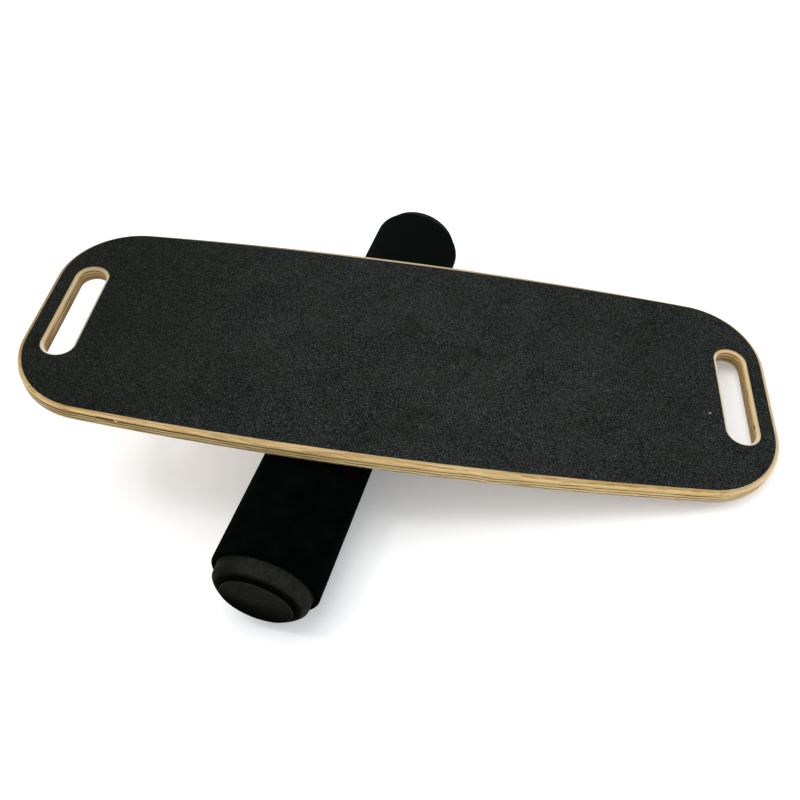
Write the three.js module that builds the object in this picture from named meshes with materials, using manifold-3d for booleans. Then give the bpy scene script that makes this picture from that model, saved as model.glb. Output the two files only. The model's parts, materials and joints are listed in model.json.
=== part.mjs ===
// Rola bola: a long plywood deck with a grit sheet and two hand slots, lying on a foam-covered roller.
// Millimetres, +Z up. The roller's axis runs along Y. The deck runs along X, turned a little on the roller,
// with its right end on the floor. The origin is on the floor, below the middle of the whole object.
import * as THREE from "three";
import { mergeVertices } from "three/addons/utils/BufferGeometryUtils.js";
import Module from "manifold-3d";

const wasm = await Module();
wasm.setup();

// Deck: its long sides draw in from the middle towards the ends, and its ends are straight
const deckLength = 800;
const deckWidth = 291;
const deckThickness = 18;
const deckSideBow = 20;
const deckCornerRadius = 86;
const deckEdgeRound = 3.5;

// Hand slots: full round ends, long axis across the deck
const slotLength = 128.5;
const slotWidth = 30;
const slotInset = 38.5;

// Grit sheet: its sides draw in less than the deck's, by the bow ease
const gripThickness = 0.8;
const gripEndMargin = 5;
const gripSideMargin = 5.8;
const gripBowEase = 3;
const gripSlotMargin = 3.7;
const adhesiveGap = 0.3;

// Stops across the underside, set in from the deck's sides at their widest and from its ends
const stopSideMargin = 45.5;
const stopWidth = 35;
const stopHeight = 15;
const stopEndMargin = 100;
const stopEdgeRound = 3;

// Countersunk screws that hold the stops
const screwsPerStop = 3;
const screwEndMargin = 20;
const screwBite = 11;
const screwHeadRadius = 4.2;
const screwHeadRim = 0.5;
const screwHeadDepth = 2.8;
const screwShankRadius = 2;
const screwTipLength = 4;
const screwHeadSink = 0.4;

// Roller
const rollerLength = 520;
const sleeveRadius = 56;
const sleeveWall = 6;
const sleeveEndRound = 3;
const tubeWall = 4;

// End caps: a skirt inside the tube, then over its end a band, a round shoulder, a gently rounded slope,
// and a flat disc inside a raised lip
const capBandSetback = 6.5;
const capBandLength = 9;
const capBandBackEdge = 0.8;
const capShoulderRound = 6;
const capShoulderDegrees = 44;
const capSlopeRound = 42;
const capSlopeDegrees = 60;
const capLipFoot = 1.1;
const capLipRise = 0.9;
const capLipWidth = 1;
const capLipRound = 0.4;
const capDiscDepth = 0.6;
const capFaceWall = 5;
const capSkirtDepth = 25;
const capSkirtWall = 5;
const capSkirtLeadIn = 1.5;

// Fits between pieces
const fitGap = 0.3;
const cutOverrun = 1;

// How the deck lies on the roller: the line of contact crosses the deck's middle line at this distance
// from the deck's middle, and this much nearer than the roller's middle
const contactOffset = 58;
const contactNearShift = 3;
const deckYawDegrees = 10.5;

// Fineness of the facets
const outlineSegments = 14;
const edgeSegments = 4;
const sleeveSegments = 64;
const capSegments = 48;
const screwSegments = 14;
const roundSegments = 4;
const slopeSegments = 4;
const cornerSolveSteps = 20;

const wood = new THREE.MeshStandardMaterial({ color: 0xd9b57c, roughness: 0.55, metalness: 0 });
const hardwood = new THREE.MeshStandardMaterial({ color: 0xb98a58, roughness: 0.6, metalness: 0 });
const grit = new THREE.MeshStandardMaterial({ color: 0x26292a, roughness: 0.95, metalness: 0 });
const foam = new THREE.MeshStandardMaterial({ color: 0x0b0b0c, roughness: 0.85, metalness: 0 });
const rubber = new THREE.MeshStandardMaterial({ color: 0x1b1b1a, roughness: 0.5, metalness: 0 });
const tubePlastic = new THREE.MeshStandardMaterial({ color: 0x8d8f90, roughness: 0.5, metalness: 0 });
const steel = new THREE.MeshStandardMaterial({ color: 0xa9adb0, roughness: 0.35, metalness: 1 });

// Solid shapes and cuts
function solidOf(geometry) {
  const bare = geometry.clone();
  bare.deleteAttribute("normal");
  bare.deleteAttribute("uv");
  const merged = mergeVertices(bare);
  return new wasm.Manifold(
    new wasm.Mesh({
      numProp: 3,
      vertProperties: merged.attributes.position.array,
      triVerts: new Uint32Array(merged.index.array),
    }),
  );
}

function geometryOf(solid) {
  const mesh = solid.getMesh();
  const geometry = new THREE.BufferGeometry();
  geometry.setAttribute("position", new THREE.BufferAttribute(mesh.vertProperties, mesh.numProp));
  geometry.setIndex(new THREE.BufferAttribute(mesh.triVerts, 1));
  geometry.computeVertexNormals();
  return geometry;
}

function cut(geometry, cutters) {
  const body = solidOf(geometry);
  return geometryOf(cutters.reduce((left, cutter) => left.subtract(solidOf(cutter)), body));
}

function named(name, geometry, material) {
  const mesh = new THREE.Mesh(geometry, material);
  mesh.name = name;
  return mesh;
}

// Board outline: each long side is a parabola, drawn in by the bow at the ends, and each corner is an arc
// that meets the side and the straight end smoothly.
function boardCorner({ length, width, bow, corner }) {
  const halfLength = length / 2;
  const slopeAt = (x) => (-2 * bow * x) / halfLength ** 2;
  const sideAt = (x) => width / 2 - bow * (x / halfLength) ** 2;
  const centreX = halfLength - corner;
  let tangentX = centreX;
  for (let step = 0; step < cornerSolveSteps; step++) {
    tangentX = centreX + corner * Math.sin(Math.atan(-slopeAt(tangentX)));
  }
  const lean = Math.atan(-slopeAt(tangentX));
  return {
    tangent: new THREE.Vector2(tangentX, sideAt(tangentX)),
    centre: new THREE.Vector2(centreX, sideAt(tangentX) - corner * Math.cos(lean)),
    peak: sideAt(tangentX) - slopeAt(tangentX) * tangentX,
    startAngle: Math.PI / 2 - lean,
  };
}

function boardShape(outline) {
  const { tangent, centre, peak, startAngle } = boardCorner(outline);
  const radius = outline.corner;
  const shape = new THREE.Shape();
  shape.moveTo(-tangent.x, -tangent.y);
  shape.quadraticCurveTo(0, -peak, tangent.x, -tangent.y);
  shape.absarc(centre.x, -centre.y, radius, -startAngle, 0);
  shape.absarc(centre.x, centre.y, radius, 0, startAngle);
  shape.quadraticCurveTo(0, peak, -tangent.x, tangent.y);
  shape.absarc(-centre.x, centre.y, radius, Math.PI - startAngle, Math.PI);
  shape.absarc(-centre.x, -centre.y, radius, Math.PI, Math.PI + startAngle);
  return shape;
}

function slotPath(centreX, length, width) {
  const radius = width / 2;
  const straight = length / 2 - radius;
  const path = new THREE.Path();
  path.moveTo(centreX + radius, -straight);
  path.lineTo(centreX + radius, straight);
  path.absarc(centreX, straight, radius, 0, Math.PI);
  path.lineTo(centreX - radius, -straight);
  path.absarc(centreX, -straight, radius, Math.PI, 2 * Math.PI);
  return path;
}

// A plate cut to a shape, lying on z = 0, with its edges rounded by the given radius
function roundedPlate(shape, thickness, round) {
  const geometry = new THREE.ExtrudeGeometry(shape, {
    depth: thickness - 2 * round,
    curveSegments: outlineSegments,
    bevelEnabled: round > 0,
    bevelThickness: round,
    bevelSize: round,
    bevelOffset: -round,
    bevelSegments: edgeSegments,
  });
  geometry.translate(0, 0, round);
  return geometry;
}

function arcPoints(centre, radius, from, to, segments) {
  return new THREE.EllipseCurve(centre.x, centre.y, radius, radius, from, to).getPoints(segments);
}

// Deck pieces, in the deck's own frame: x along it, y across it, z = 0 on its underside
const deckOutline = { length: deckLength, width: deckWidth, bow: deckSideBow, corner: deckCornerRadius };
const gripOutline = {
  length: deckLength - 2 * gripEndMargin,
  width: deckWidth - 2 * gripSideMargin,
  bow: deckSideBow - gripBowEase,
  corner: deckCornerRadius - gripEndMargin,
};
const slotCentreX = deckLength / 2 - slotInset;
const stopLength = deckWidth - 2 * stopSideMargin;
const stopCentreX = deckLength / 2 - stopEndMargin - stopWidth / 2;
const screwHeadZ = -fitGap - stopHeight + screwHeadSink;
const screwLength = screwBite - screwHeadZ;
const screwSpacing = (stopLength - 2 * screwEndMargin) / (screwsPerStop - 1);

function slottedShape(outline, margin) {
  const shape = boardShape(outline);
  for (const side of [-1, 1]) {
    shape.holes.push(slotPath(side * slotCentreX, slotLength + 2 * margin, slotWidth + 2 * margin));
  }
  return shape;
}

// A screw points up from its head's face at z = 0. The gap makes the same form larger, for the hole that
// it sits in.
function screwShape(gap) {
  const underHead = gap > 0 ? -screwHeadSink - cutOverrun : 0;
  const profile = [
    new THREE.Vector2(0, underHead),
    new THREE.Vector2(screwHeadRadius + gap, underHead),
    new THREE.Vector2(screwHeadRadius + gap, screwHeadRim + gap),
    new THREE.Vector2(screwShankRadius + gap, screwHeadDepth + gap),
    new THREE.Vector2(screwShankRadius + gap, screwLength - screwTipLength + gap),
    new THREE.Vector2(0, screwLength + gap),
  ];
  return new THREE.LatheGeometry(profile, screwSegments).rotateX(Math.PI / 2);
}

function screwPlaces(side) {
  return Array.from({ length: screwsPerStop }, (_, i) => {
    const y = (i - (screwsPerStop - 1) / 2) * screwSpacing;
    return new THREE.Vector3(side * stopCentreX, y, screwHeadZ);
  });
}

function screwHoles(side) {
  return screwPlaces(side).map((place) => screwShape(fitGap).translate(place.x, place.y, place.z));
}

function deck() {
  const plate = roundedPlate(slottedShape(deckOutline, 0), deckThickness, deckEdgeRound);
  return named("deck", cut(plate, [...screwHoles(-1), ...screwHoles(1)]), wood);
}

function gripSheet() {
  const sheet = roundedPlate(slottedShape(gripOutline, gripSlotMargin), gripThickness, 0);
  const mesh = named("grip_sheet", sheet, grit);
  mesh.position.z = deckThickness + adhesiveGap;
  return mesh;
}

// A hardwood bar with its two long lower edges rounded, cut for its screws
function stopBar(name, side) {
  const halfWidth = stopWidth / 2;
  const roundX = halfWidth - stopEdgeRound;
  const roundY = -stopHeight + stopEdgeRound;
  const section = new THREE.Shape();
  section.moveTo(halfWidth, 0);
  section.lineTo(-halfWidth, 0);
  section.absarc(-roundX, roundY, stopEdgeRound, Math.PI, 1.5 * Math.PI);
  section.absarc(roundX, roundY, stopEdgeRound, 1.5 * Math.PI, 2 * Math.PI);
  const bar = new THREE.ExtrudeGeometry(section, {
    depth: stopLength,
    curveSegments: edgeSegments,
    bevelEnabled: false,
  });
  bar.translate(0, 0, -stopLength / 2).rotateX(Math.PI / 2);
  bar.translate(side * stopCentreX, 0, -fitGap);
  return named(name, cut(bar, screwHoles(side)), hardwood);
}

function stopWithScrews(label, side) {
  const group = new THREE.Group();
  group.add(stopBar(`stop_${label}`, side));
  screwPlaces(side).forEach((place, i) => {
    const screw = named(`stop_${label}_screw_${i + 1}`, screwShape(0), steel);
    screw.position.copy(place);
    group.add(screw);
  });
  return group;
}

// Roller pieces, in the roller's own frame: its axis along y, its middle at the origin
const tubeRadius = sleeveRadius - sleeveWall - fitGap;
const tubeBore = tubeRadius - tubeWall;
const capBandRadius = sleeveRadius - capBandSetback;
const capSkirtRadius = tubeBore - fitGap;
const halfFacet = Math.PI / sleeveSegments;
const rollerRestHeight = sleeveRadius * Math.cos(halfFacet);

function foamSleeve() {
  const half = rollerLength / 2;
  const bore = sleeveRadius - sleeveWall;
  const roundAt = sleeveRadius - sleeveEndRound;
  const round = (y, from, to) => {
    return arcPoints(new THREE.Vector2(roundAt, y), sleeveEndRound, from, to, roundSegments);
  };
  const profile = [
    new THREE.Vector2(bore, -half),
    ...round(-half + sleeveEndRound, -Math.PI / 2, 0),
    ...round(half - sleeveEndRound, 0, Math.PI / 2),
    new THREE.Vector2(bore, half),
    new THREE.Vector2(bore, -half),
  ];
  return named("foam_sleeve", new THREE.LatheGeometry(profile, sleeveSegments, halfFacet), foam);
}

function rollerTube() {
  const half = rollerLength / 2;
  const profile = [
    new THREE.Vector2(tubeBore, -half),
    new THREE.Vector2(tubeRadius, -half),
    new THREE.Vector2(tubeRadius, half),
    new THREE.Vector2(tubeBore, half),
    new THREE.Vector2(tubeBore, -half),
  ];
  return named("roller_tube", new THREE.LatheGeometry(profile, sleeveSegments, halfFacet), tubePlastic);
}

// The outside of the cap, from the start of its shoulder to the end of its slope. The shoulder and the slope
// are arcs that meet smoothly. Height 0 is the end of the tube.
function capOutside() {
  const shoulderEnd = THREE.MathUtils.degToRad(capShoulderDegrees);
  const slopeEnd = THREE.MathUtils.degToRad(capSlopeDegrees);
  const shoulderCentre = new THREE.Vector2(capBandRadius - capShoulderRound, fitGap + capBandLength);
  const inwards = capSlopeRound - capShoulderRound;
  const slopeCentre = new THREE.Vector2(
    shoulderCentre.x - inwards * Math.cos(shoulderEnd),
    shoulderCentre.y - inwards * Math.sin(shoulderEnd),
  );
  return [
    ...arcPoints(shoulderCentre, capShoulderRound, 0, shoulderEnd, roundSegments),
    ...arcPoints(slopeCentre, capSlopeRound, shoulderEnd, slopeEnd, slopeSegments).slice(1),
  ];
}

// The cap's whole profile runs from the middle of its hollow, round the skirt and the band, over the outside,
// to the middle of the disc.
function capProfile() {
  const outside = capOutside();
  const shoulderTop = outside[roundSegments].y;
  const slopeEnd = outside[outside.length - 1];
  const discRadius = slopeEnd.x - capLipFoot;
  const lipTop = slopeEnd.y + capLipRise;
  const lipInner = discRadius - capLipWidth;
  const face = lipTop - capDiscDepth;
  const skirtBore = capSkirtRadius - capSkirtWall;
  const hollowBore = discRadius - capFaceWall;
  return [
    new THREE.Vector2(0, face - capFaceWall),
    new THREE.Vector2(hollowBore, face - capFaceWall),
    new THREE.Vector2(hollowBore, shoulderTop - capFaceWall),
    new THREE.Vector2(skirtBore, shoulderTop - capFaceWall),
    new THREE.Vector2(skirtBore, -capSkirtDepth),
    new THREE.Vector2(capSkirtRadius - capSkirtLeadIn, -capSkirtDepth),
    new THREE.Vector2(capSkirtRadius, -capSkirtDepth + capSkirtLeadIn),
    new THREE.Vector2(capSkirtRadius, fitGap),
    new THREE.Vector2(capBandRadius - capBandBackEdge, fitGap),
    new THREE.Vector2(capBandRadius, fitGap + capBandBackEdge),
    ...outside,
    new THREE.Vector2(discRadius, slopeEnd.y),
    new THREE.Vector2(discRadius, lipTop - capLipRound),
    new THREE.Vector2(discRadius - capLipRound, lipTop),
    new THREE.Vector2(lipInner, lipTop),
    new THREE.Vector2(lipInner - capDiscDepth, face),
    new THREE.Vector2(0, face),
  ];
}

function endCap(name, end) {
  const cap = named(name, new THREE.LatheGeometry(capProfile(), capSegments), rubber);
  cap.rotation.x = end < 0 ? Math.PI : 0;
  cap.position.y = (end * rollerLength) / 2;
  return cap;
}

// The deck lies on the roller with its underside touching the sleeve, and tilts until its lower corner
// meets the floor: rollerRestHeight below the axis.
function restTilt(yaw) {
  const { centre } = boardCorner(deckOutline);
  const reach =
    contactOffset * Math.cos(yaw) +
    centre.x * Math.cos(yaw) +
    centre.y * Math.sin(yaw) +
    deckCornerRadius;
  const along = reach - deckEdgeRound;
  const above = sleeveRadius + fitGap + deckEdgeRound;
  const drop = rollerRestHeight - deckEdgeRound;
  return Math.acos(-drop / Math.hypot(above, along)) - Math.atan2(along, above);
}

const deckYaw = THREE.MathUtils.degToRad(deckYawDegrees);

const roller = new THREE.Group();
roller.add(foamSleeve(), rollerTube(), endCap("end_cap_near", -1), endCap("end_cap_far", 1));

const board = new THREE.Group();
board.add(deck(), gripSheet(), stopWithScrews("left", -1), stopWithScrews("right", 1));
board.rotation.z = deckYaw;
board.position.set(
  contactOffset * Math.cos(deckYaw),
  contactOffset * Math.sin(deckYaw) - contactNearShift,
  sleeveRadius + fitGap,
);

const tiltedBoard = new THREE.Group();
tiltedBoard.rotation.y = restTilt(deckYaw);
tiltedBoard.add(board);

const rolaBola = new THREE.Group();
rolaBola.add(roller, tiltedBoard);

// Put the origin on the floor, below the middle of the whole object
const box = new THREE.Box3().setFromObject(rolaBola, true);
const middle = box.getCenter(new THREE.Vector3());
rolaBola.position.set(-middle.x, -middle.y, -box.min.z);

export default rolaBola;
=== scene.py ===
"""The looks of a rola bola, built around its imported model: a plywood deck with a grit sheet and two hand
slots, resting on a foam-covered roller with rubber caps, on a plain pale studio floor."""

import json
import math

import bpy
from mathutils import Matrix, Vector


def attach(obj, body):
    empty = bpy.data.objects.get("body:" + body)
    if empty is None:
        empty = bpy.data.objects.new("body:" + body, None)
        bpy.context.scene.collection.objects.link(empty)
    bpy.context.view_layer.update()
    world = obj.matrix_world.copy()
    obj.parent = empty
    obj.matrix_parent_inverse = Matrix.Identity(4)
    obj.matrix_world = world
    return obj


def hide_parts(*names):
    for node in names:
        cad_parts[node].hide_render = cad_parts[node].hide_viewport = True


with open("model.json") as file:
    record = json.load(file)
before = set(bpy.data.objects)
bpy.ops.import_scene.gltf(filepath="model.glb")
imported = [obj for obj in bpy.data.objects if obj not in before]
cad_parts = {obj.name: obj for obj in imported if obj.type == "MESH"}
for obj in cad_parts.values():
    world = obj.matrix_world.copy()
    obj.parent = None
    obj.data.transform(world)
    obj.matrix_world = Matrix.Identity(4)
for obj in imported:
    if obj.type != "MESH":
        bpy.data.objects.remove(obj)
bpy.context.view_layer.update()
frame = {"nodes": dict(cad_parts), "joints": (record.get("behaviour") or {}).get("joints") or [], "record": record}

MM = 0.001

# Deck, in millimetres, in its own frame: x along it, y across it, z = 0 on its underside
DECK_LENGTH = 800
DECK_WIDTH = 291
DECK_THICKNESS = 18
DECK_BOW = 20
DECK_CORNER = 86
DECK_ROUND = 3.5
DECK_FLAT_RIM = 0.8
DECK_YAW = math.radians(10.5)

# Hand slots
SLOT_LENGTH = 128.5
SLOT_WIDTH = 30
SLOT_X = DECK_LENGTH / 2 - 38.5

# Grit sheet, with the film of glue below it
GRIT_LENGTH = DECK_LENGTH - 10
GRIT_WIDTH = DECK_WIDTH - 11.6
GRIT_BOW = DECK_BOW - 3
GRIT_CORNER = DECK_CORNER - 5
GRIT_SLOT_MARGIN = 3.7
GRIT_TOP = 19.1
GRIT_THICKNESS = 1.08
GRIT_ROUND = 0.3
GRIT_FLAT_RIM = 0.3

# Marks of the deck's near edge, of the right slot's wall and of the grit, where the photograph has them
GLUE_LINE_DEPTH = 6.4
SLIT_X, SLIT_DEPTH = -284.5, 5.8
CHIP_X = -273.5
HUMP_X, DIP_X, HUMP_HEIGHT = 75, 103, 1.3
KNOT_X, KNOT_Y, KNOT_DEPTH = 376, -39, 3.2
FLECK_X, FLECK_Y = 328.3, -30.8

# Stops under the deck
STOP_LENGTH = 200
STOP_WIDTH = 35
STOP_HEIGHT = 15
STOP_TOP = -0.3
STOP_ROUND = 3
STOP_EASE = 0.6
STOP_EASE_PART = STOP_EASE * 0.3
STOP_X = DECK_LENGTH / 2 - 117.5

# Screws of the stops, and their holes, with depths from the face of the screws
SCREWS_PER_STOP = 3
SCREW_SPACING = 80
SCREW_FACE = -14.9
SCREW_LENGTH = 25.9
SCREW_POINT = 4
SCREW_HEAD = 4.2
SCREW_HEAD_RIM = 0.5
SCREW_HEAD_DEPTH = 2.8
SCREW_SHANK = 2
RECESS_ARM, RECESS_HALF_WIDTH, RECESS_DEPTH = 2.2, 0.45, 1.6
RECESS_TAPER_ALONG, RECESS_TAPER_ACROSS = 0.35, 0.8
RECESS_START = -0.5
HOLE_CLEARANCE = 0.3
HOLE_START, HOLE_END = -2, STOP_HEIGHT + 1

# Roller, in millimetres from its middle
ROLLER_HALF = 260
SLEEVE_RADIUS = 55.93
SLEEVE_BORE = 50
SLEEVE_END_ROUND = 3

# Caps, with heights from the end of the tube, and angles in degrees from the radial direction
CAP_BAND_RADIUS = 49.5
CAP_BAND_START = 0.6
CAP_BAND_EASE = 0.3
CAP_SHOULDER_HEIGHT = 9.3
CAP_SHOULDER_ROUND = 6
CAP_SLOPE_ROUND = 42
CAP_SLOPE_FROM, CAP_SLOPE_TO = 44, 60
CAP_LIP_RADIUS = 37
CAP_LIP_GAP = 1.1
CAP_LIP_WIDTH = 1.5
CAP_LIP_HEIGHT = 0.9
CAP_LIP_EASE = 0.4
CAP_LIP_INNER_EASE = 0.35
CAP_LIP_INNER_INSET = 0.3
CAP_FOOT_EASE = 0.25
CAP_DISC_DROP = 0.6
CAP_WALL = 5
CAP_SKIRT_RADIUS = 45.4
CAP_SKIRT_END = -25
CAP_SKIRT_EASE = 1.5

# How fine the pieces are
CORNER_STEPS = 26
HALF_SIDE_STEPS = 36
END_STEPS = 6
SLOT_STEPS = 22
TANGENT_TRIES = 20
DECK_ROUND_STEPS = 7
GRIT_ROUND_STEPS = 3
STOP_ROUND_STEPS = 6
SLEEVE_ROUND_STEPS = 8
CAP_ROUND_STEPS = 9
CAP_EASE_STEPS = 4
CAP_FOOT_STEPS = 3
TURNED_STEPS = 144
SCREW_STEPS = 24
SHARP_ANGLE = math.radians(34)
MERGE_DISTANCE = 0.002


def tone(red, green, blue):
    """A colour on the 0 to 255 scale of a picture, as the linear colour that nodes take."""

    def linear(value):
        share = value / 255
        return share / 12.92 if share <= 0.04045 else ((share + 0.055) / 1.055) ** 2.4

    return (linear(red), linear(green), linear(blue), 1)


def find_named(rows, name):
    return next(row for row in rows if row["name"] == name)


# Places of the board and the roller in the model's frame
rider_face = find_named(frame["record"]["mounts"], "rider_face")
tilt_joint = find_named(frame["joints"], "board_tilt")
deck_up = Vector(rider_face["axis"]).normalized()
deck_tilt = math.atan2(deck_up.x, deck_up.z)
deck_turn = Matrix.Rotation(deck_tilt, 4, "Y") @ Matrix.Rotation(DECK_YAW, 4, "Z")
deck_place = Matrix.Translation(Vector(rider_face["pos_m"]) - deck_up * (GRIT_TOP * MM)) @ deck_turn
roller_place = Matrix.Translation(Vector(tilt_joint["pos_m"]))


# Node trees
class Wire:
    """One output of a node. Sums on wires add Math nodes to their tree."""

    def __init__(self, work, socket):
        self.work = work
        self.socket = socket

    def of(self, output):
        """Another output of the same node."""
        return Wire(self.work, self.socket.node.outputs[output])

    def sum(self, operation, *values):
        return self.work.add("ShaderNodeMath", {"operation": operation}, dict(enumerate(values)))

    def __add__(self, other):
        return self.sum("ADD", self, other)

    def __radd__(self, other):
        return self.sum("ADD", other, self)

    def __sub__(self, other):
        return self.sum("SUBTRACT", self, other)

    def __rsub__(self, other):
        return self.sum("SUBTRACT", other, self)

    def __mul__(self, other):
        return self.sum("MULTIPLY", self, other)

    def __rmul__(self, other):
        return self.sum("MULTIPLY", other, self)

    def __truediv__(self, other):
        return self.sum("DIVIDE", self, other)

    def __pow__(self, other):
        return self.sum("POWER", self, other)

    def __neg__(self):
        return self.sum("MULTIPLY", self, -1)

    def size(self):
        return self.sum("ABSOLUTE", self)

    def above(self, other):
        return self.sum("GREATER_THAN", self, other)

    def most(self, other):
        return self.sum("MAXIMUM", self, other)


class Tree:
    """A node tree that is filled one node at a time."""

    def __init__(self, tree):
        self.tree = tree
        self.tree.nodes.clear()

    def add(self, kind, settings=None, sockets=None, output=0):
        """A node of this kind: its settings first, then the values and wires of its sockets. A list of
        wires goes into one socket. The answer is the wire of one output."""
        node = self.tree.nodes.new(kind)
        for name, value in (settings or {}).items():
            if name == "stops":
                self.set_stops(node.color_ramp, value)
            else:
                setattr(node, name, value)
        for name, value in (sockets or {}).items():
            for part in value if isinstance(value, list) else [value]:
                if isinstance(part, Wire):
                    self.tree.links.new(part.socket, node.inputs[name])
                else:
                    node.inputs[name].default_value = part
        return Wire(self, node.outputs[output]) if node.outputs else None

    def set_stops(self, ramp, stops):
        while len(ramp.elements) < len(stops):
            ramp.elements.new(0.5)
        for element, (position, colour) in zip(ramp.elements, stops):
            element.position = position
            element.color = colour

    def spread(self, value, low, high, to_low=0, to_high=1):
        """The value's part of the way from low to high, smoothly, held at both ends."""
        values = {"Value": value, "From Min": low, "From Max": high, "To Min": to_low, "To Max": to_high}
        return self.add("ShaderNodeMapRange", {"interpolation_type": "SMOOTHSTEP"}, values)

    def close_to(self, value, middle, far, near):
        """1 where the value is within near of the middle, and smoothly less out to far, where it is 0."""
        return self.spread((value - middle).size(), far, near)


class Finish(Tree):
    """A material whose pattern lies in the frame of the piece's own place, in millimetres."""

    def __init__(self, name, place):
        self.material = bpy.data.materials.new(name)
        self.material.use_nodes = True
        super().__init__(self.material.node_tree)
        back = place.inverted()
        self.here = self.add(
            "ShaderNodeMapping",
            {"vector_type": "POINT"},
            {
                "Vector": self.add("ShaderNodeTexCoord").of("Object"),
                "Location": back.translation / MM,
                "Rotation": back.to_euler(),
                "Scale": (1 / MM,) * 3,
            },
        )

    def axes(self):
        parts = self.add("ShaderNodeSeparateXYZ", None, {"Vector": self.here})
        return parts.of("X"), parts.of("Y"), parts.of("Z")

    def in_steps_of(self, step):
        """The place, counted in steps of this many millimetres, one for all axes or one for each."""
        steps = step if isinstance(step, tuple) else (step,) * 3
        scale = tuple(1 / length for length in steps)
        return self.add("ShaderNodeMapping", {"vector_type": "POINT"}, {"Vector": self.here, "Scale": scale})

    def noise(self, step, detail=2, roughness=0.5, distortion=0):
        """Noise with blotches of about this many millimetres."""
        place = {"Vector": self.in_steps_of(step), "Scale": 1}
        kind = {"Detail": detail, "Roughness": roughness, "Distortion": distortion}
        return self.add("ShaderNodeTexNoise", None, {**place, **kind})

    def cells(self, step, feature="F1"):
        """Cells of about this many millimetres."""
        values = {"Vector": self.in_steps_of(step), "Scale": 1}
        return self.add("ShaderNodeTexVoronoi", {"feature": feature}, values)

    def mix(self, share, first, second):
        """Two colours mixed. Sockets 0, 6 and 7 are the share and the colours, and output 2 is the colour."""
        return self.add("ShaderNodeMix", {"data_type": "RGBA"}, {0: share, 6: first, 7: second}, output=2)

    def coated(self, colour, *coats):
        """The colour with coats laid over it in turn. Each coat is its share and its own colour."""
        for share, coat in coats:
            colour = self.mix(share, colour, coat)
        return colour

    def ramp(self, value, *stops):
        return self.add("ShaderNodeValToRGB", {"stops": stops}, {"Fac": value})

    def bump(self, height, distance, strength=1):
        values = {"Height": height, "Distance": distance * MM, "Strength": strength}
        return self.add("ShaderNodeBump", None, values)

    def close(self, **sockets):
        """Ends the tree in one principled surface. Underlined names stand for sockets with spaces."""
        named = {name.replace("_", " "): value for name, value in sockets.items()}
        surface = self.add("ShaderNodeBsdfPrincipled", None, named)
        self.add("ShaderNodeOutputMaterial", None, {"Surface": surface})
        return self.material


# Plies of the deck: how far below the top each starts, and its tone along the deck and across its ends
HONEY_PLY = tone(214, 184, 124)
# LIGHT_PLY, just below the top of the long edges, is lighter than that ply's own tone, as painted light on their
# rounding
LIGHT_PLY = tone(224, 195, 138)
PALE_PLY = tone(219, 197, 146)
DARK_PLY = tone(112, 86, 26)
END_PLY = tone(164, 132, 78)
BROWN_LINE = tone(86, 54, 6)
PLIES = [
    (0.0, HONEY_PLY, END_PLY),
    (1.3, LIGHT_PLY, HONEY_PLY),
    (3.6, HONEY_PLY, END_PLY),
    (5.5, BROWN_LINE, PALE_PLY),
    (7.0, PALE_PLY, END_PLY),
    (9.7, DARK_PLY, PALE_PLY),
    (11.3, PALE_PLY, END_PLY),
    (13.9, DARK_PLY, PALE_PLY),
    (15.5, PALE_PLY, END_PLY),
]
PLY_BLUR = 0.12


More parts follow.
